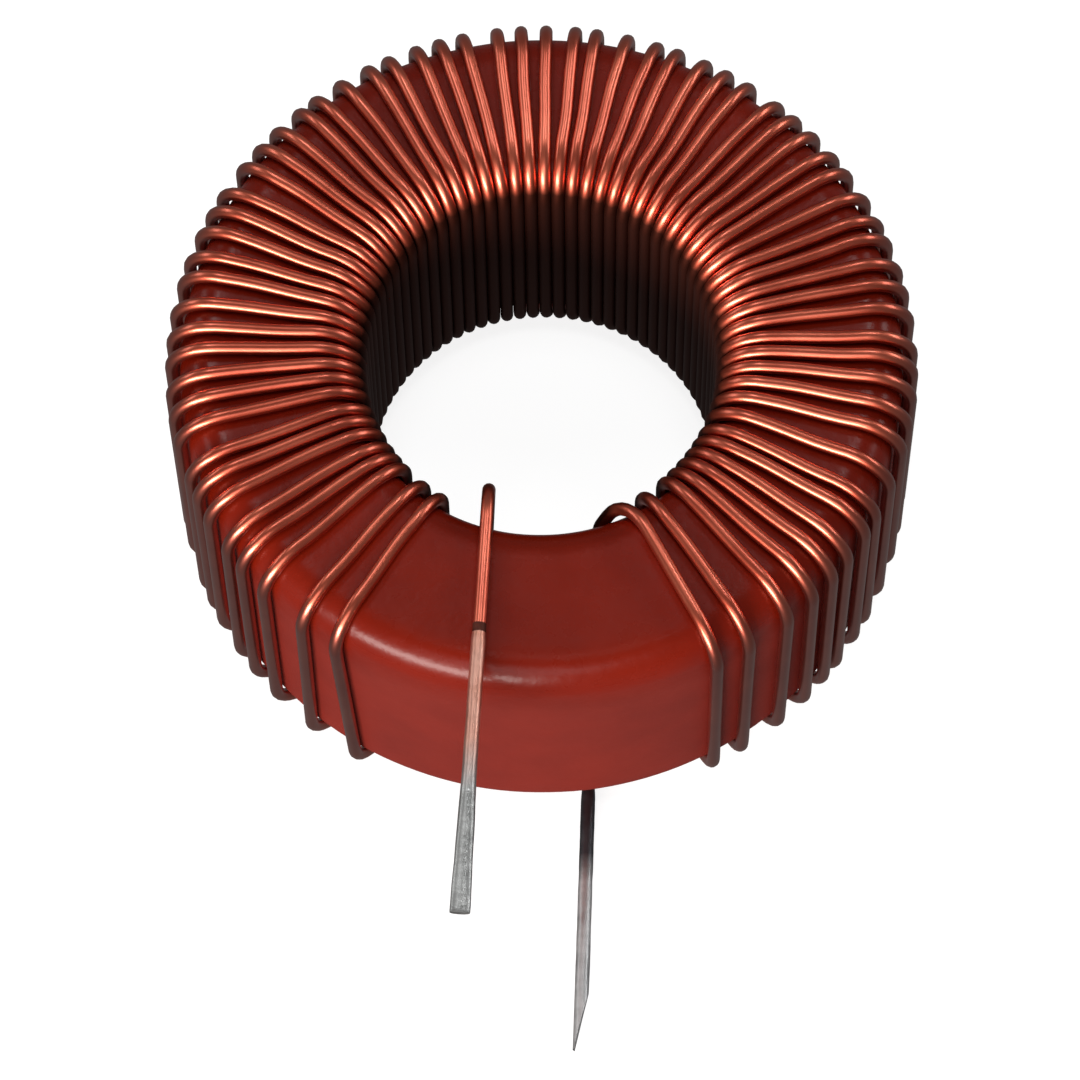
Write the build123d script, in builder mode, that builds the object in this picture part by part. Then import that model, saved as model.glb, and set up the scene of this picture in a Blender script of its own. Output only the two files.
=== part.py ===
"""Toroidal inductor: a powder core ring with a rust red epoxy coating, wound with one
enamelled copper wire whose two ends leave as straight, solder-tinned leads.

The ring lies flat, its axis is Z, and Z = 0 is the plane that it rests on, under the turns
of wire. The gap in the winding, with the leads, faces -Y. Lengths are in millimetres and
azimuths in degrees, counted from +X towards +Y.
"""
import os
from math import cos, degrees, hypot, radians, sin, tan

from build123d import *

# The pressed ring of magnetic powder, and the epoxy that is baked on all round it.
core_od = 26.9
core_id = 15.0
core_height = 11.6
core_edge = 1.1
coat = 0.3

# The magnet wire: its size over the enamel, its copper, and how it lies on the ring. So that
# all its turns stay light, its section has flat sides between points of its true diameter, and
# each bend is made of short straight pieces that meet in mitres.
wire_d = 0.51
wire_sides = 8
copper_d = 0.47
wire_slack = 0.06
bend_ease = 0.035
bore_mitres = 2
rim_mitres = 3
turns = 66

# Where the turns lie. They are packed side by side in the bore, with the gap for the leads
# left open, and before some of them the winder left more room, in degrees.
gap_azimuth = -93.6
turn_gap = 0.012
room_before = {1: 1.4, 2: 4.1, 8: 1.4, 9: 0.9, 10: 0.6, 54: 0.6, 58: 1.0, 61: 0.9, 64: 4.0, 65: 2.7}

# How far the turns stray sideways, at most, on their way out to the rim and down it.
drift = 0.8
last_foot_lean = 2.5

# The start lead comes out under the ring from a straight run up the bore, at the top of which
# the wire slants over into the first turn. It is round, and its tip is cut at a slant.
start_step = 10.7
start_knee_step = 9.0
start_knee_drop = 2.3
start_tip_x = 1.02
start_reach = 9.4
start_strip_gap = 0.1
cut_length = 2.1

# The finish lead comes up the bore in a loose bend and leaves over the top of the ring.
# Its end is pressed flat and cut straight.
finish_foot_step = 8.6
finish_step = 13.1
finish_slack = 1.15
finish_tip_x = -3.31
finish_reach = 8.4
finish_strip_setback = 2.6
flat_length = 7.4
flat_width = 0.69
flat_thickness = 0.24

# The solder on the stripped ends.
tin = 0.055

# What follows from the sizes above.
coat_od = core_od + 2 * coat
coat_id = core_id - 2 * coat
coat_height = core_height + 2 * coat
coat_edge = core_edge + coat
stand_off = wire_slack + wire_d / 2
bend_radius = coat_edge + stand_off + bend_ease
lead_height = copper_d / 2 + tin
coat_bottom = wire_d + wire_slack
coat_top = coat_bottom + coat_height
ring_middle = (coat_bottom + coat_top) / 2
bore_track = coat_id / 2 - stand_off
rim_track = coat_od / 2 + stand_off
bottom_track = coat_bottom - stand_off
top_track = coat_top + stand_off
wound_radius = rim_track + wire_d / 2
ring_mean_radius = (core_od + core_id) / 4
packed_step = degrees((wire_d + turn_gap) / bore_track)
wound_arc = packed_step * (turns - 1) + sum(room_before.values())
first_azimuth = gap_azimuth + (360 - wound_arc) / 2
last_azimuth = first_azimuth + wound_arc
start_azimuth = first_azimuth - start_step
start_knee_azimuth = first_azimuth - start_knee_step
finish_foot_azimuth = last_azimuth + finish_foot_step
finish_azimuth = last_azimuth + finish_step


def ring_point(radius, azimuth, height):
    """The point at this radius and azimuth from the ring's axis."""
    angle = radians(azimuth)
    return Vector(radius * cos(angle), radius * sin(angle), height)


def bore_azimuths():
    """Where each turn comes up the bore."""
    azimuths = [first_azimuth]
    for turn in range(1, turns):
        azimuths.append(azimuths[-1] + packed_step + room_before.get(turn, 0))
    return azimuths


def lean(turn):
    """How far round a turn strays between the bore and the rim."""
    return drift * (0.6 * sin(2.3 * turn) + 0.4 * sin(5.1 * turn + 1.0))


def foot_lean(turn):
    """How far round a turn strays on its way down the rim."""
    if turn == turns - 1:
        return last_foot_lean
    return 0.5 * drift * sin(1.7 * turn + 2.0)


def way_points(corners):
    """The points of the wire's way, with each corner turned into a bend of a few mitres."""
    points = [corners[0]]
    for before, corner, after in zip(corners, corners[1:], corners[2:]):
        arriving = (corner - before).normalized()
        leaving = (after - corner).normalized()
        turned = radians(arriving.get_angle(leaving))
        inward = (leaving - arriving).normalized()
        centre = corner + inward * bend_radius / cos(turned / 2)
        outward = (corner - arriving * bend_radius * tan(turned / 2) - centre) / bend_radius
        mitres = rim_mitres if hypot(corner.X, corner.Y) > ring_mean_radius else bore_mitres
        half_step = turned / mitres / 2
        for mitre in range(mitres):
            angle = (2 * mitre + 1) * half_step
            spoke = outward * cos(angle) + arriving * sin(angle)
            points.append(centre + spoke * bend_radius / cos(half_step))
    return points + [corners[-1]]


# The leads. Each one is a straight line out of the ring, and its direction is that line's.
start_tip = Vector(start_tip_x, -wound_radius - start_reach, lead_height)
start_foot = ring_point(bore_track, start_azimuth, lead_height)
start_way = (start_tip - start_foot).normalized()
start_strip = (start_reach - start_strip_gap) / -start_way.Y
start_enamel_end = start_tip - start_way * start_strip

finish_tip = Vector(finish_tip_x, -wound_radius - finish_reach, top_track)
finish_top = ring_point(bore_track - finish_slack, finish_azimuth, top_track)
finish_foot = ring_point(bore_track - finish_slack, finish_foot_azimuth, bottom_track)
finish_way = (finish_tip - finish_top).normalized()
finish_strip = (finish_reach + finish_strip_setback) / -finish_way.Y
finish_enamel_end = finish_tip - finish_way * finish_strip
flat_from = finish_tip - finish_way * flat_length

# The corners of the wire's way round the ring, from the start lead to the finish lead.
bore = bore_azimuths()
start_knee = ring_point(bore_track, start_knee_azimuth, top_track - start_knee_drop)
corners = [start_enamel_end, start_foot, start_knee]
for turn in range(turns):
    rim_azimuth = bore[turn] + lean(turn)
    foot_azimuth = rim_azimuth + foot_lean(turn)
    if turn > 0:
        corners.append(ring_point(bore_track, bore[turn], bottom_track))
    corners.append(ring_point(bore_track, bore[turn], top_track))
    corners.append(ring_point(rim_track, rim_azimuth, top_track))
    corners.append(ring_point(rim_track, foot_azimuth, bottom_track))
corners += [finish_foot, finish_top, finish_enamel_end]

# Sections across the leads, each facing out along its lead.
start_enamel_plane = Plane(origin=start_enamel_end, z_dir=start_way)
start_cut_plane = Plane(
    origin=start_tip - Vector(copper_d / 2 + tin, 0, 0),
    x_dir=Vector(0, 0, 1),
    z_dir=Vector(cut_length, 0, 0) + start_way * (copper_d + 2 * tin),
)
finish_enamel_plane = Plane(origin=finish_enamel_end, z_dir=finish_way)
side_way = finish_way.cross(Vector(0, 0, 1))
finish_flat_plane = Plane(origin=flat_from, x_dir=side_way, z_dir=finish_way)
finish_tip_plane = Plane(origin=finish_tip, x_dir=side_way, z_dir=finish_way)

# The magnetic core: a ring of pressed powder with rounded edges.
with BuildPart() as magnetic_core:
    with BuildSketch(Plane.XZ) as core_section:
        with Locations((ring_mean_radius, ring_middle)):
            RectangleRounded((core_od - core_id) / 2, core_height, core_edge)
    revolve(axis=Axis.Z)

# The coating: an epoxy skin of even thickness that encloses the core.
with BuildPart() as core_coating:
    with BuildSketch(Plane.XZ) as coat_section:
        with Locations((ring_mean_radius, ring_middle)):
            RectangleRounded((coat_od - coat_id) / 2, coat_height, coat_edge)
            RectangleRounded((core_od - core_id) / 2, core_height, core_edge, mode=Mode.SUBTRACT)
    revolve(axis=Axis.Z)

# The winding: one length of wire. The stripped start comes first, with its slanting cut, then
# the enamelled wire through all its turns, and then the stripped finish with its flat end.
with BuildPart() as winding:
    with BuildSketch(start_enamel_plane) as start_copper:
        Circle(copper_d / 2)
    extrude(amount=start_strip)
    split(bisect_by=start_cut_plane, keep=Keep.BOTTOM)
    with BuildLine() as wire_way:
        Polyline(*way_points(corners))
    with BuildSketch(Plane(origin=start_enamel_end, z_dir=-start_way)) as wire_section:
        RegularPolygon(wire_d / 2, wire_sides)
    sweep(path=wire_way.wires()[0], transition=Transition.RIGHT)
    with BuildSketch(finish_enamel_plane, finish_flat_plane) as finish_copper:
        Circle(copper_d / 2)
    with BuildSketch(finish_tip_plane) as flat_end:
        Ellipse(flat_width / 2, flat_thickness / 2)
    loft(sections=[*finish_copper.sketch.faces(), flat_end.sketch], ruled=True)

# The tinning of the start lead: a skin of solder round the stripped wire.
with BuildPart() as start_lead_tinning:
    with BuildSketch(start_enamel_plane) as start_solder:
        Circle(copper_d / 2 + tin)
        Circle(copper_d / 2, mode=Mode.SUBTRACT)
    extrude(amount=start_strip)
    split(bisect_by=start_cut_plane, keep=Keep.BOTTOM)

# The tinning of the finish lead follows its wire out to the flat end.
with BuildPart() as finish_lead_tinning:
    with BuildSketch(finish_enamel_plane, finish_flat_plane) as finish_solder:
        Circle(copper_d / 2 + tin)
    with BuildSketch(finish_tip_plane) as solder_end:
        Ellipse(flat_width / 2 + tin, flat_thickness / 2 + tin)
    loft(sections=[*finish_solder.sketch.faces(), solder_end.sketch], ruled=True)
    with BuildSketch(finish_enamel_plane, finish_flat_plane) as wire_hole:
        Circle(copper_d / 2)
    with BuildSketch(finish_tip_plane) as hole_end:
        Ellipse(flat_width / 2, flat_thickness / 2)
    loft(sections=[*wire_hole.sketch.faces(), hole_end.sketch], ruled=True, mode=Mode.SUBTRACT)

pieces = {
    "magnetic_core": magnetic_core,
    "core_coating": core_coating,
    "winding": winding,
    "start_lead_tinning": start_lead_tinning,
    "finish_lead_tinning": finish_lead_tinning,
}
os.makedirs("parts", exist_ok=True)
for name, piece in pieces.items():
    piece.part.label = name
    export_step(piece.part, f"parts/{name}.step")
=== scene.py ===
"""A toroidal inductor lying on a pale floor: a red ring core in its winding of enamelled copper
wire, with two straight tinned leads that leave the gap at the front.

The sizes are in millimetres and the azimuths in degrees, as in the CAD, and mm turns a size into
metres. Lights and noises are in Blender's own units.
"""
from math import cos, degrees, hypot, pi, radians, sin, tan

import bpy
from mathutils import Matrix, Vector


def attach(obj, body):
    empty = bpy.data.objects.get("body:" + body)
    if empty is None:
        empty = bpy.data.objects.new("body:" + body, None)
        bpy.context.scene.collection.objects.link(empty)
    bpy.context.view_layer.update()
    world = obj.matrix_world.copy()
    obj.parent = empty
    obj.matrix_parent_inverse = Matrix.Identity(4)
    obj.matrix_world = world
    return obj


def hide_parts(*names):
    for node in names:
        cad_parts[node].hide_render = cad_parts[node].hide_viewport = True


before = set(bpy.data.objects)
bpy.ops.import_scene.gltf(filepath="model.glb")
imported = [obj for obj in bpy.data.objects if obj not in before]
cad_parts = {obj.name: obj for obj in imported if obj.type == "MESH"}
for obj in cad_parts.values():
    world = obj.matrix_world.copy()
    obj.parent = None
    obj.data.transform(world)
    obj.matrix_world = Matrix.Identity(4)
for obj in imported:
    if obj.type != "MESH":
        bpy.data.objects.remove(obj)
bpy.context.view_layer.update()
bpy.ops.object.select_all(action="DESELECT")

# The magnetic core: a ring of pressed iron powder, the same all through. It is sealed in the
# coating, so it only shows if the coating is taken off, and it keeps its CAD shape.
mm = 0.001
core_od = 26.9
core_id = 15.0
core_height = 11.6
powder_grain = 9000.0
noise_roughness = 0.55


def set_inputs(node, **values):
    """Sets the named inputs of a shader node."""
    for name, value in values.items():
        node.inputs[name.replace("_", " ")].default_value = value


def add_node(material, kind, **values):
    """Adds a shader node to a material and sets its named inputs."""
    node = material.node_tree.nodes.new(kind)
    set_inputs(node, **values)
    return node


def new_material(name, **values):
    """A material with one Principled shader, which is returned with it."""
    material = bpy.data.materials.new(name)
    material.use_nodes = True
    shader = material.node_tree.nodes["Principled BSDF"]
    set_inputs(shader, **values)
    return material, shader


def wire_up(material, *links):
    """Makes each link, which is a source, its output, a target and its input."""
    for source, output, target, socket in links:
        material.node_tree.links.new(source.outputs[output], target.inputs[socket])


def noise_on_object(material, scale, detail=4.0):
    """A noise that lies still on the object, with scale features to the metre."""
    place = add_node(material, "ShaderNodeTexCoord")
    noise = add_node(
        material,
        "ShaderNodeTexNoise",
        Scale=scale,
        Detail=detail,
        Roughness=noise_roughness,
    )
    wire_up(material, (place, "Object", noise, "Vector"))
    return noise


def ramp_between(material, noise, dark, light, from_value=0.35, to_value=0.65):
    """Turns a noise into a colour that runs from dark to light."""
    ramp = add_node(material, "ShaderNodeValToRGB")
    ramp.color_ramp.elements[0].position = from_value
    ramp.color_ramp.elements[0].color = (*dark, 1.0)
    ramp.color_ramp.elements[1].position = to_value
    ramp.color_ramp.elements[1].color = (*light, 1.0)
    wire_up(material, (noise, "Fac", ramp, "Fac"))
    return ramp


powder, powder_shader = new_material("pressed_iron_powder", Metallic=0.7, Roughness=0.6)
powder_noise = noise_on_object(powder, powder_grain)
powder_tone = ramp_between(powder, powder_noise, (0.05, 0.05, 0.055), (0.16, 0.16, 0.17))
wire_up(powder, (powder_tone, "Color", powder_shader, "Base Color"))
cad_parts["magnetic_core"].data.materials.clear()
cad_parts["magnetic_core"].data.materials.append(powder)

# The coating: rust red epoxy, sprayed on as powder and baked, so its edges are round, its skin
# has a faint orange peel and a soft gloss, and it is a little uneven all over. The wall is
# rubbed matt, and the top has kept its gloss.
coat = 0.3
coat_edge = 1.4
coat_edge_steps = 8
coat_flat_cuts = 11
coat_turn_steps = 180
coat_lump_size = 3.0
coat_lump_depth = 0.03
coat_clouds = 260.0
coat_peel = 2600.0
coat_sheen_clouds = 700.0
coat_matt_below = 9.8
coat_glossy_above = 11.9
wire_d = 0.51
wire_slack = 0.06
weld_distance = 0.002
bump_height = 0.1

coat_bottom = wire_d + wire_slack
coat_top = coat_bottom + core_height + 2 * coat
ring_middle = (coat_bottom + coat_top) / 2
coat_outer = core_od / 2 + coat
coat_inner = core_id / 2 - coat


def face_out():
    """Turns the faces of the mesh being edited outwards."""
    bpy.ops.mesh.select_all(action="SELECT")
    bpy.ops.mesh.normals_make_consistent(inside=False)


def weld_and_face_out():
    """Joins the doubled points of the mesh being edited, and turns its faces outwards."""
    bpy.ops.mesh.select_all(action="SELECT")
    bpy.ops.mesh.remove_doubles(threshold=weld_distance * mm)
    face_out()


def make_lumpy(piece, lump_size, lump_depth):
    """Sinks the skin of the active piece by up to lump_depth, in soft lumps."""
    lumps = bpy.data.textures.new(piece.name + "_lumps", "CLOUDS")
    lumps.noise_scale = lump_size * mm
    uneven = piece.modifiers.new("uneven", "DISPLACE")
    uneven.texture = lumps
    uneven.texture_coords = "LOCAL"
    uneven.mid_level = 1.0
    uneven.strength = lump_depth * mm
    bpy.ops.object.modifier_apply(modifier="uneven")


def bump_from(material, noise, strength):
    """A bump of small height that follows a noise."""
    bump = add_node(material, "ShaderNodeBump", Strength=strength, Distance=bump_height * mm)
    wire_up(material, (noise, "Fac", bump, "Height"))
    return bump


def axes_on_object(material):
    """The place on the object, split into X, Y and Z."""
    place = add_node(material, "ShaderNodeTexCoord")
    axes = add_node(material, "ShaderNodeSeparateXYZ")
    wire_up(material, (place, "Object", axes, "Vector"))
    return axes


def spread(material, source, output, low=0.0, high=1.0, at_low=0.0, at_high=1.0):
    """Turns a value that runs from low to high into one that runs from at_low to at_high."""
    spread_value = add_node(
        material,
        "ShaderNodeMapRange",
        From_Min=low,
        From_Max=high,
        To_Min=at_low,
        To_Max=at_high,
    )
    wire_up(material, (source, output, spread_value, "Value"))
    return spread_value


def combine(material, operation, first, second):
    """The sum, the maximum or the like of two values that come from spread."""
    combined = add_node(material, "ShaderNodeMath")
    combined.operation = operation
    wire_up(material, (first, "Result", combined, 0), (second, "Result", combined, 1))
    return combined


bpy.ops.mesh.primitive_plane_add(
    size=1,
    location=((coat_outer + coat_inner) / 2 * mm, 0, ring_middle * mm),
    rotation=(pi / 2, 0, 0),
)
coating = bpy.context.object
coating.name = "epoxy_coating"
bpy.ops.object.mode_set(mode="EDIT")
bpy.ops.transform.resize(value=((coat_outer - coat_inner) * mm, 1, (coat_top - coat_bottom) * mm))
bpy.ops.mesh.bevel(offset=coat_edge * mm, segments=coat_edge_steps, affect="VERTICES")
bpy.ops.mesh.select_all(action="SELECT")
bpy.ops.mesh.delete(type="ONLY_FACE")
bpy.ops.mesh.select_all(action="DESELECT")
bpy.ops.object.mode_set(mode="OBJECT")
for edge in coating.data.edges:
    ends = [coating.data.vertices[v].co for v in edge.vertices]
    edge.select = (ends[0] - ends[1]).length > coat_edge * mm
bpy.ops.object.mode_set(mode="EDIT")
bpy.ops.mesh.subdivide(number_cuts=coat_flat_cuts)
bpy.ops.mesh.select_all(action="SELECT")
bpy.ops.mesh.spin(steps=coat_turn_steps, angle=2 * pi, center=(0, 0, 0), axis=(0, 0, 1))
weld_and_face_out()
bpy.ops.object.mode_set(mode="OBJECT")
bpy.ops.object.transform_apply(location=True, rotation=True, scale=True)
make_lumpy(coating, coat_lump_size, coat_lump_depth)
bpy.ops.object.shade_smooth()

epoxy, epoxy_shader = new_material("rust_red_epoxy", IOR=1.5, Specular_IOR_Level=0.21)
epoxy_tone = ramp_between(
    epoxy,
    noise_on_object(epoxy, coat_clouds),
    dark=(0.105, 0.0050, 0.0012),
    light=(0.148, 0.0078, 0.0020),
    from_value=0.2,
    to_value=0.8,
)
peel_bump = bump_from(epoxy, noise_on_object(epoxy, coat_peel, detail=2.0), strength=0.12)
sheen = spread(
    epoxy,
    noise_on_object(epoxy, coat_sheen_clouds),
    "Fac",
    low=0.2,
    high=0.8,
    at_low=-0.03,
    at_high=0.04,
)
matt_wall = spread(
    epoxy,
    axes_on_object(epoxy),
    "Z",
    low=coat_matt_below * mm,
    high=coat_glossy_above * mm,
    at_low=0.75,
    at_high=0.27,
)
coat_roughness = combine(epoxy, "ADD", matt_wall, sheen)
wire_up(
    epoxy,
    (epoxy_tone, "Color", epoxy_shader, "Base Color"),
    (peel_bump, "Normal", epoxy_shader, "Normal"),
    (coat_roughness, "Value", epoxy_shader, "Roughness"),
)
coating.data.materials.append(epoxy)
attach(coating, "root")
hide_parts("core_coating")

# The winding: one length of enamelled copper wire, wound by hand round the coated ring. It comes
# in under the ring, goes 66 times round it and leaves over the top. The enamel is clear and
# reddish, and the turns are packed side by side in the bore and spread out towards the rim.
turns = 66
turn_gap = 0.012
gap_azimuth = -93.6
room_before = {1: 1.4, 2: 4.1, 8: 1.4, 9: 0.9, 10: 0.6}
room_before |= {54: 0.6, 58: 1.0, 61: 0.9, 64: 4.0, 65: 2.7}
drift = 0.8
last_foot_lean = 2.5
bend_ease = 0.035
bend_steps = 8
sway = 0.035
sway_steps = 6
swaying_run = 4.0
unswayed_corners = 3
flat_length = 7.4
copper_d = 0.47
tin = 0.055
start_step = 10.7
start_knee_step = 9.0
start_knee_drop = 2.3
start_tip_x = 1.02
start_reach = 9.4
start_strip_gap = 0.1
finish_foot_step = 8.6
finish_step = 13.1
finish_slack = 1.15
finish_tip_x = -3.31
finish_reach = 8.4
finish_strip_setback = 2.6
scorched_length = 0.35
scorch_margin = 0.01

stand_off = wire_slack + wire_d / 2
bend_radius = coat_edge + stand_off + bend_ease
bore_track = coat_inner - stand_off
rim_track = coat_outer + stand_off
bottom_track = coat_bottom - stand_off
top_track = coat_top + stand_off
wound_radius = rim_track + wire_d / 2
lead_height = copper_d / 2 + tin
packed_step = degrees((wire_d + turn_gap) / bore_track)
wound_arc = packed_step * (turns - 1) + sum(room_before.values())
first_azimuth = gap_azimuth + (360 - wound_arc) / 2
last_azimuth = first_azimuth + wound_arc


def ring_point(radius, azimuth, height):
    """The point at this radius and azimuth from the ring's axis."""
    return Vector((radius * cos(radians(azimuth)), radius * sin(radians(azimuth)), height))


def lean(turn):
    """How far round a turn strays between the bore and the rim, in degrees."""
    return drift * (0.6 * sin(2.3 * turn) + 0.4 * sin(5.1 * turn + 1.0))


def foot_lean(turn):
    """How far round a turn strays on its way down the rim, in degrees."""
    if turn == turns - 1:
        return last_foot_lean
    return 0.5 * drift * sin(1.7 * turn + 2.0)


def bow(run_number, share):
    """How far aside a run across the ring is bowed at this share of its length."""
    one_way = sin(1.9 * run_number) * sin(pi * share)
    to_and_fro = 0.6 * sin(3.1 * run_number) * sin(2 * pi * share)
    return sway * (one_way + to_and_fro)


start_tip = Vector((start_tip_x, -wound_radius - start_reach, lead_height))
start_foot = ring_point(bore_track, first_azimuth - start_step, lead_height)
start_knee = ring_point(bore_track, first_azimuth - start_knee_step, top_track - start_knee_drop)
start_way = (start_tip - start_foot).normalized()
start_strip = (start_reach - start_strip_gap) / -start_way.y
start_enamel_end = start_tip - start_way * start_strip

finish_tip = Vector((finish_tip_x, -wound_radius - finish_reach, top_track))
finish_top = ring_point(bore_track - finish_slack, last_azimuth + finish_step, top_track)
finish_foot = ring_point(bore_track - finish_slack, last_azimuth + finish_foot_step, bottom_track)
finish_way = (finish_tip - finish_top).normalized()
finish_strip = (finish_reach + finish_strip_setback) / -finish_way.y
finish_enamel_end = finish_tip - finish_way * finish_strip

corners = [start_enamel_end, start_foot, start_knee]
azimuth = first_azimuth
for turn in range(turns):
    if turn > 0:
        azimuth += packed_step + room_before.get(turn, 0)
        corners.append(ring_point(bore_track, azimuth, bottom_track))
    rim_azimuth = azimuth + lean(turn)
    corners.append(ring_point(bore_track, azimuth, top_track))
    corners.append(ring_point(rim_track, rim_azimuth, top_track))
    corners.append(ring_point(rim_track, rim_azimuth + foot_lean(turn), bottom_track))
corners += [finish_foot, finish_top, finish_enamel_end]

way = [corners[0]]
for count, (before, corner, after) in enumerate(zip(corners, corners[1:], corners[2:])):
    arriving = (corner - before).normalized()
    leaving = (after - corner).normalized()
    turned = arriving.angle(leaving)
    centre = corner + (leaving - arriving).normalized() * bend_radius / cos(turned / 2)
    outward = (corner - arriving * bend_radius * tan(turned / 2) - centre) / bend_radius
    for step in range(bend_steps + 1):
        angle = turned * step / bend_steps
        way.append(centre + (outward * cos(angle) + arriving * sin(angle)) * bend_radius)
    run = after - corner
    in_the_turns = unswayed_corners < count < len(corners) - unswayed_corners
    if in_the_turns and hypot(run.x, run.y) > swaying_run:
        sideways = run.cross(Vector((0, 0, 1))).normalized()
        for step in range(1, sway_steps):
            share = step / sway_steps
            along = bend_radius / run.length + share * (1 - 2 * bend_radius / run.length)
            way.append(corner + run * along + sideways * bow(count, share))

# Inside its tinning the wire is bare, so it is a little thinner. It ends before the tinning does.
bare_share = 0.9
bare_after = 0.02
start_wire_end = 2.8
start_wire_end_share = 0.7
finish_wire_end = 0.2
finish_wire_end_share = 0.55

way.append(finish_enamel_end - finish_way * scorched_length)
thickness = [1.0] * len(way)
way = [start_tip - start_way * start_wire_end, start_enamel_end + start_way * bare_after] + way
thickness = [start_wire_end_share, bare_share] + thickness
way += [finish_enamel_end, finish_enamel_end + finish_way * bare_after]
thickness += [1.0, bare_share]
way += [finish_tip - finish_way * flat_length, finish_tip - finish_way * finish_wire_end]
thickness += [bare_share, finish_wire_end_share]

bpy.ops.curve.primitive_bezier_curve_add()
winding = bpy.context.object
winding.name = "enamelled_wire"
winding.data.splines.clear()
wire_line = winding.data.splines.new("POLY")
wire_line.points.add(len(way) - 1)
for place, share, point in zip(way, thickness, wire_line.points):
    point.co = (*(place * mm), 1.0)
    point.radius = share
winding.data.bevel_depth = wire_d / 2 * mm
winding.data.bevel_resolution = 5
winding.data.use_fill_caps = True
bpy.ops.object.convert(target="MESH")
bpy.ops.object.mode_set(mode="EDIT")
weld_and_face_out()
bpy.ops.object.mode_set(mode="OBJECT")
bpy.ops.object.shade_smooth_by_angle(angle=radians(50))

# The enamel lets the copper shine through. Outside on the rim it is mixed towards a dull greyish
# brown, a painted shade, and down in the bore it is painted almost black, a painted shade. Where
# it was burnt off at the leads, its last bit is charred.
enamel_clouds = 420.0
scorch_grain = 2500.0
bore_radius = 6.9
out_of_bore_radius = 7.3
bore_height = 12.1
over_bore_height = 12.7
rim_from_radius = 13.3
rim_to_radius = 14.3
# Painted shade: down in the bore the enamel is painted almost black.
bore_painted_shade = (0.062, 0.016, 0.010)
# Painted shade: outside on the rim the enamel is mixed towards a dull greyish brown.
rim_painted_shade = (0.19, 0.095, 0.085)
# The sockets of a mix node for colours.
mix_share = 0
mix_first = 6
mix_second = 7
mix_result = 2


def mix_colours(material, share, output, first, second):
    """Mixes two colours. Each is a plain colour, or a node with the output that gives it."""
    mixed = add_node(material, "ShaderNodeMix")
    mixed.data_type = "RGBA"
    wire_up(material, (share, output, mixed, mix_share))
    for socket, colour in ((mix_first, first), (mix_second, second)):
        if len(colour) == 3:
            mixed.inputs[socket].default_value = (*colour, 1.0)
        else:
            wire_up(material, (*colour, mixed, socket))
    return mixed


enamel, enamel_shader = new_material(
    "copper_under_reddish_enamel", Metallic=1.0, Coat_Roughness=0.24, Coat_IOR=1.5
)
enamel_noise = noise_on_object(enamel, enamel_clouds)
enamel_tone = ramp_between(enamel, enamel_noise, (0.60, 0.105, 0.055), (0.78, 0.17, 0.095))
wire_place = add_node(enamel, "ShaderNodeTexCoord")
flat_place = add_node(enamel, "ShaderNodeVectorMath")
flat_place.operation = "MULTIPLY"
flat_place.inputs[1].default_value = (1.0, 1.0, 0.0)
from_axis = add_node(enamel, "ShaderNodeVectorMath")
from_axis.operation = "LENGTH"
wire_up(enamel, (wire_place, "Object", flat_place, 0), (flat_place, "Vector", from_axis, 0))
out_of_bore = spread(
    enamel, from_axis, "Value", low=bore_radius * mm, high=out_of_bore_radius * mm
)
over_bore = spread(
    enamel, axes_on_object(enamel), "Z", low=bore_height * mm, high=over_bore_height * mm
)
# unshaded is 0 down in the bore, where the painted shade is mixed in, the enamel is rougher and
# has no coat, and 1 elsewhere.
unshaded = combine(enamel, "MAXIMUM", out_of_bore, over_bore)
bore_shaded_tone = mix_colours(enamel, unshaded, "Value", bore_painted_shade, (enamel_tone, "Color"))
# The painted shade on the rim, up to 0.65 of the greyish brown.
on_rim = spread(
    enamel, from_axis, "Value", low=rim_from_radius * mm, high=rim_to_radius * mm, at_high=0.65
)
rim_shaded_tone = mix_colours(enamel, on_rim, "Result", (bore_shaded_tone, mix_result), rim_painted_shade)
bore_shade_roughness = spread(enamel, unshaded, "Value", at_low=0.62, at_high=0.35)
enamel_gloss = spread(enamel, unshaded, "Value", at_low=0.0, at_high=0.6)
wire_up(
    enamel,
    (rim_shaded_tone, mix_result, enamel_shader, "Base Color"),
    (bore_shade_roughness, "Result", enamel_shader, "Roughness"),
    (enamel_gloss, "Result", enamel_shader, "Coat Weight"),
)

scorched, scorched_shader = new_material(
    "scorched_enamel", Roughness=0.6, Specular_IOR_Level=0.2
)
scorch_noise = noise_on_object(scorched, scorch_grain)
scorch_tone = ramp_between(scorched, scorch_noise, (0.022, 0.005, 0.003), (0.075, 0.016, 0.009))
wire_up(scorched, (scorch_tone, "Color", scorched_shader, "Base Color"))

winding.data.materials.clear()
winding.data.materials.append(enamel)
winding.data.materials.append(scorched)
for face in winding.data.polygons:
    for enamel_end, lead_way in ((start_enamel_end, start_way), (finish_enamel_end, finish_way)):
        past = face.center / mm - enamel_end
        beyond = past.dot(lead_way)
        aside = (past - lead_way * beyond).length
        if beyond > -scorched_length - scorch_margin and aside < wire_d:
            face.material_index = 1
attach(winding, "root")
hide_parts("winding")

# The tinning of the start lead: the enamel was burnt off and the bare end was dipped in solder,
# which set dull and a little lumpy, and next to the ring it is darkened to a dark blue-grey, a
# painted shade. The tip was snipped off at a slant.
cut_length = 2.1
cut_face_match = 0.99
tinned_radius = copper_d / 2 + tin
tinned_sides = 24
ring_step = 0.1
start_ring_count = 76
solder_lip = 0.35
lip_radius = 0.28
enamel_lap = 0.01
solder_lump_depth = 0.03
start_lump_size = 0.9
wicked = 1.3
solder_clouds = 900.0
solder_grain = 2600.0
# Painted shade: near the ring the solder is darkened to a dark blue-grey.
shade_from_y = -17.0
shade_to_y = -15.8
painted_shade_near_ring = (0.03, 0.036, 0.048)


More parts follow.
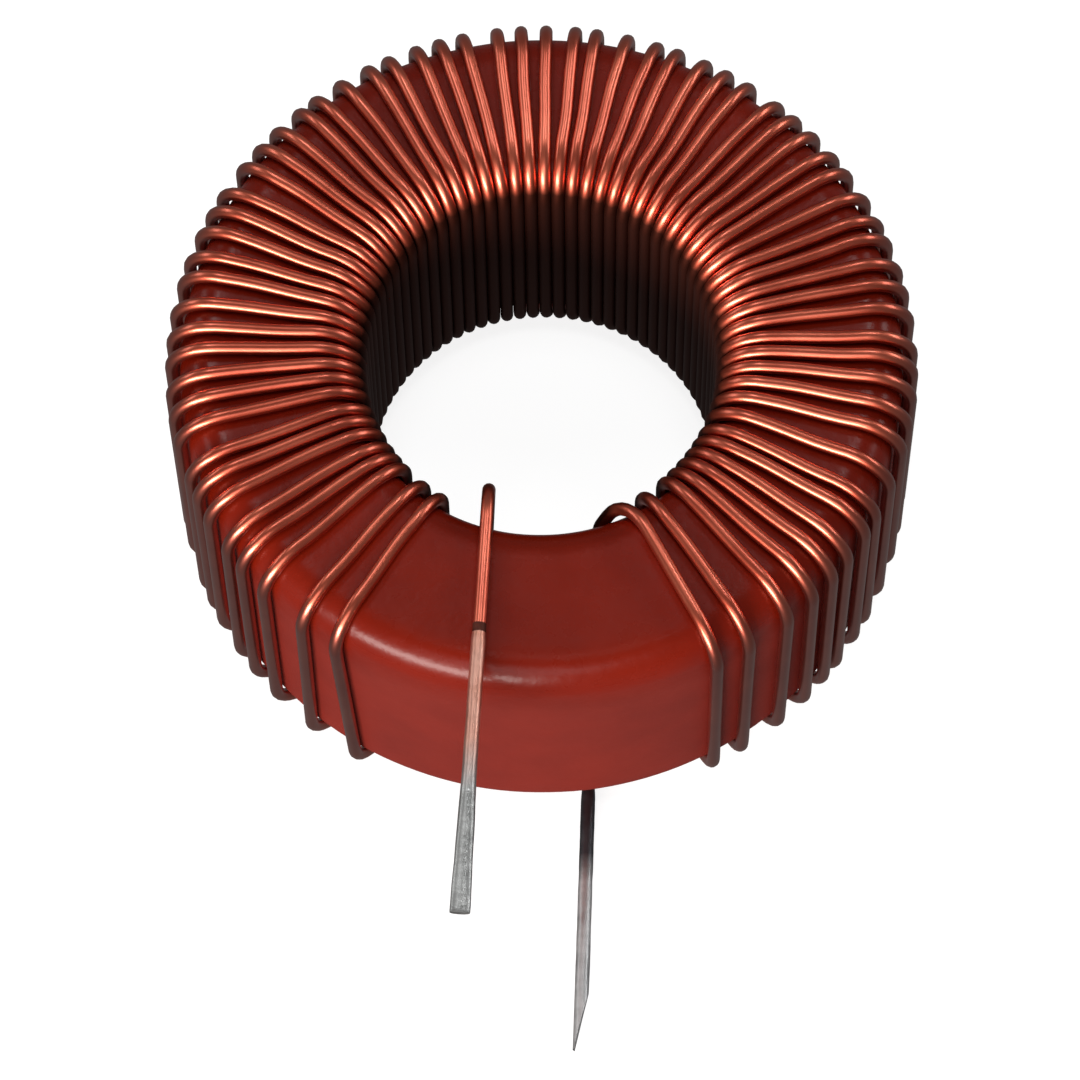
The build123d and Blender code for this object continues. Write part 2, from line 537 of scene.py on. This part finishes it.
def solder_rings(count):
    """The rings of a bar of solder, from its lip on the enamel to the last of an even size."""
    end_radius = wire_d / 2 + enamel_lap
    rings = [(0, end_radius, end_radius), (solder_lip / 2, lip_radius, lip_radius)]
    for step in range(count):
        rings.append((solder_lip + step * ring_step, tinned_radius, tinned_radius))
    return rings


def tinned_bar(name, start_point, lead_way, rings):
    """A bar that grows out of a disc. Each ring is (distance, half width, half height)."""
    bpy.ops.mesh.primitive_circle_add(
        vertices=tinned_sides,
        radius=1,
        fill_type="NGON",
        location=start_point * mm,
        rotation=lead_way.to_track_quat("Z", "Y").to_euler(),
    )
    bar = bpy.context.object
    bar.name = name
    bpy.ops.object.mode_set(mode="EDIT")
    bpy.ops.transform.resize(
        value=(rings[0][1] * mm, rings[0][2] * mm, 1), orient_type="LOCAL"
    )
    for last, ring in zip(rings, rings[1:]):
        bpy.ops.mesh.extrude_region_move()
        bpy.ops.transform.translate(value=lead_way * (ring[0] - last[0]) * mm)
        bpy.ops.transform.resize(
            value=(ring[1] / last[1], ring[2] / last[2], 1),
            orient_type="LOCAL",
            center_override=(start_point + lead_way * ring[0]) * mm,
        )
    bpy.ops.object.mode_set(mode="OBJECT")
    bpy.ops.object.transform_apply(location=True, rotation=True, scale=True)
    return bar


def set_solder(bar, lump_size):
    """Gives a bar the uneven skin of set solder."""
    bpy.ops.object.mode_set(mode="EDIT")
    face_out()
    bpy.ops.object.mode_set(mode="OBJECT")
    make_lumpy(bar, lump_size, solder_lump_depth)
    bpy.ops.object.shade_smooth_by_angle(angle=radians(40))


def solder_material(name, **values):
    """A metal with the fine lumps of set solder, and the noise that its tone follows."""
    material, shader = new_material(name, Metallic=1.0, **values)
    noise = noise_on_object(material, solder_clouds)
    bump = bump_from(material, noise_on_object(material, solder_grain), strength=0.3)
    wire_up(material, (bump, "Normal", shader, "Normal"))
    return material, shader, noise


start_rings = solder_rings(start_ring_count)
start_rings.append((start_strip + wicked, tinned_radius, tinned_radius))
start_tinning = tinned_bar(
    "start_lead_solder", start_enamel_end - start_way * wicked, start_way, start_rings
)
set_solder(start_tinning, start_lump_size)
cut_normal = (Vector((cut_length, 0, 0)) + start_way * 2 * tinned_radius).normalized()
bpy.ops.object.mode_set(mode="EDIT")
bpy.ops.mesh.select_all(action="SELECT")
bpy.ops.mesh.bisect(
    plane_co=(start_tip - Vector((tinned_radius - solder_lump_depth, 0, 0))) * mm,
    plane_no=cut_normal,
    use_fill=True,
    clear_outer=True,
)
face_out()
bpy.ops.object.mode_set(mode="OBJECT")
for face in start_tinning.data.polygons:
    face.use_smooth = face.normal.dot(cut_normal) < cut_face_match

solder, solder_shader, solder_noise = solder_material("dull_solder")
solder_tone = ramp_between(solder, solder_noise, (0.50, 0.51, 0.515), (0.74, 0.75, 0.755))
solder_sheen = spread(
    solder, solder_noise, "Fac", low=0.3, high=0.7, at_low=0.42, at_high=0.58
)
# The painted shade next to the ring, up to 0.9 of the dark blue-grey.
shade_near_ring = spread(
    solder, axes_on_object(solder), "Y", low=shade_from_y * mm, high=shade_to_y * mm, at_high=0.9
)
shaded_solder_tone = mix_colours(solder, shade_near_ring, "Result", (solder_tone, "Color"), painted_shade_near_ring)
wire_up(
    solder,
    (shaded_solder_tone, mix_result, solder_shader, "Base Color"),
    (solder_sheen, "Result", solder_shader, "Roughness"),
)
start_tinning.data.materials.append(solder)
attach(start_tinning, "root")
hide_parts("start_lead_tinning")

# The tinning of the finish lead: solder on the end that leaves over the top, so thin next to the
# ring that the copper shows through it. This end was squeezed flat with pliers and cut off
# straight. Each flat ring is (distance from the tip, half width, half height).
finish_ring_count = 32
finish_lump_size = 1.1
copper_from_y = -17.2
copper_to_y = -15.2
ragged_edge = 1.2
flat_rings = [(7.4, 0.29, 0.29), (5.3, 0.29, 0.285), (4.6, 0.315, 0.255), (3.1, 0.345, 0.215)]
flat_rings += [(1.8, 0.365, 0.19), (0.25, 0.4, 0.175), (0.04, 0.398, 0.172), (0, 0.38, 0.155)]

finish_rings = solder_rings(finish_ring_count)
for far, near in zip(flat_rings, flat_rings[1:]):
    steps = max(1, round((far[0] - near[0]) / ring_step))
    for step in range(1, steps + 1):
        share = step / steps
        distance, half_width, half_height = (a + (b - a) * share for a, b in zip(far, near))
        finish_rings.append((finish_strip - distance, half_width, half_height))
finish_tinning = tinned_bar("finish_lead_solder", finish_enamel_end, finish_way, finish_rings)
set_solder(finish_tinning, finish_lump_size)

coppery, coppery_shader, coppery_noise = solder_material("thin_solder_on_copper", Roughness=0.42)
tin_tone = ramp_between(coppery, coppery_noise, (0.34, 0.35, 0.345), (0.54, 0.55, 0.545))
copper_tone = ramp_between(coppery, coppery_noise, (0.64, 0.30, 0.22), (0.76, 0.42, 0.33))
ragged = add_node(coppery, "ShaderNodeMath")
ragged.operation = "MULTIPLY_ADD"
ragged.inputs[1].default_value = ragged_edge * mm
wire_up(
    coppery, (coppery_noise, "Fac", ragged, 0), (axes_on_object(coppery), "Y", ragged, 2)
)
thin_part = spread(
    coppery, ragged, "Value", low=copper_from_y * mm, high=copper_to_y * mm
)
coppery_tone = mix_colours(
    coppery, thin_part, "Result", (tin_tone, "Color"), (copper_tone, "Color")
)
wire_up(coppery, (coppery_tone, mix_result, coppery_shader, "Base Color"))
finish_tinning.data.materials.append(coppery)
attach(finish_tinning, "root")
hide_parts("finish_lead_tinning")

# The stand for the photograph: a plain pale floor in a dim room. The floor glows, so it stays as
# white as the photograph's background, and it is left out of reflections, because the wires and
# leads in the photograph have dark sides.
floor_side = 3.0
bpy.ops.mesh.primitive_plane_add(size=floor_side, location=(0, 0, 0))
floor = bpy.context.object
floor.name = "floor"
paper, paper_shader = new_material("pale_paper", Roughness=0.9, Emission_Strength=0.86)
set_inputs(
    paper_shader,
    Base_Color=(0.25, 0.25, 0.25, 1.0),
    Emission_Color=(1.0, 1.0, 1.0, 1.0),
)
floor.data.materials.append(paper)
floor.visible_glossy = False

room = bpy.data.worlds.new("room")
bpy.context.scene.world = room
room.use_nodes = True
set_inputs(room.node_tree.nodes["Background"], Color=(1.0, 0.99, 0.98, 1.0), Strength=0.15)

ring_centre = Vector((0, 0, ring_middle * mm))
softbox_distance = 0.5
front_tint = (1.0, 0.90, 0.85)


def add_softbox(name, azimuth, elevation, size, power, distance=softbox_distance):
    """A rectangular soft light that faces the ring. Azimuth 0 is in front and 90 to the left."""
    toward = Vector(
        (
            -sin(radians(azimuth)) * cos(radians(elevation)),
            -cos(radians(azimuth)) * cos(radians(elevation)),
            sin(radians(elevation)),
        )
    )
    light = bpy.data.lights.new(name, "AREA")
    light.shape = "RECTANGLE"
    light.size = size[0]
    light.size_y = size[1]
    light.energy = power
    softbox = bpy.data.objects.new(name, light)
    bpy.context.collection.objects.link(softbox)
    softbox.location = ring_centre + toward * distance
    softbox.rotation_euler = toward.to_track_quat("Z", "Y").to_euler()
    return softbox


# The main light is low in front on the left and warms the ring's wall. A broad weak one above it
# and one at each side light the bends into the bore, two small ones high behind draw the line
# along each wire, and the overhead one only brightens the top.
front = add_softbox(
    "front_softbox", azimuth=27, elevation=16, size=(0.30, 0.14), power=3.3, distance=0.45
)
front.data.color = front_tint
add_softbox("front_high_softbox", azimuth=8, elevation=44, size=(0.30, 0.20), power=0.40)
add_softbox("left_softbox", azimuth=114, elevation=22, size=(0.30, 0.10), power=0.26)
add_softbox("right_softbox", azimuth=246, elevation=22, size=(0.30, 0.10), power=0.46)
add_softbox("back_left_softbox", azimuth=147, elevation=60, size=(0.08, 0.08), power=0.24)
add_softbox("back_right_softbox", azimuth=213, elevation=60, size=(0.08, 0.08), power=0.24)
overhead = add_softbox("top_softbox", azimuth=0, elevation=88, size=(0.14, 0.14), power=1.0)
overhead.visible_glossy = False

# The camera looks down on the ring from the front, as the photograph does: a long lens, a little
# roll, and the ring high in the picture with the leads pointing down. The distance and the
# shifts are counted in radii of the wound ring.
view_elevation = radians(66.6)
view_distance = 16.0
view_roll = 0.0171
view_shift_right = 0.0061
view_shift_up = 0.3374
picture_side = 1080
focal_pixels = 5915
sensor_side = 36.0
nearest = 0.01
farthest = 10.0

forward = Vector((0, cos(view_elevation), -sin(view_elevation)))
right = Vector((1, 0, 0))
up = Vector((0, sin(view_elevation), cos(view_elevation)))
camera_right = right * cos(view_roll) - up * sin(view_roll)
camera_up = right * sin(view_roll) + up * cos(view_roll)
offset = camera_right * view_shift_right + camera_up * view_shift_up + forward * view_distance
camera_place = ring_centre - offset * wound_radius * mm
camera_data = bpy.data.cameras.new("camera")
camera_data.sensor_width = sensor_side
camera_data.lens = focal_pixels / picture_side * sensor_side
camera_data.clip_start = nearest
camera_data.clip_end = farthest
camera = bpy.data.objects.new("camera", camera_data)
bpy.context.collection.objects.link(camera)
turned_axes = Matrix((camera_right, camera_up, -forward)).transposed()
camera.matrix_world = Matrix.Translation(camera_place) @ turned_axes.to_4x4()
bpy.context.scene.camera = camera
bpy.context.scene.view_settings.view_transform = "Standard"
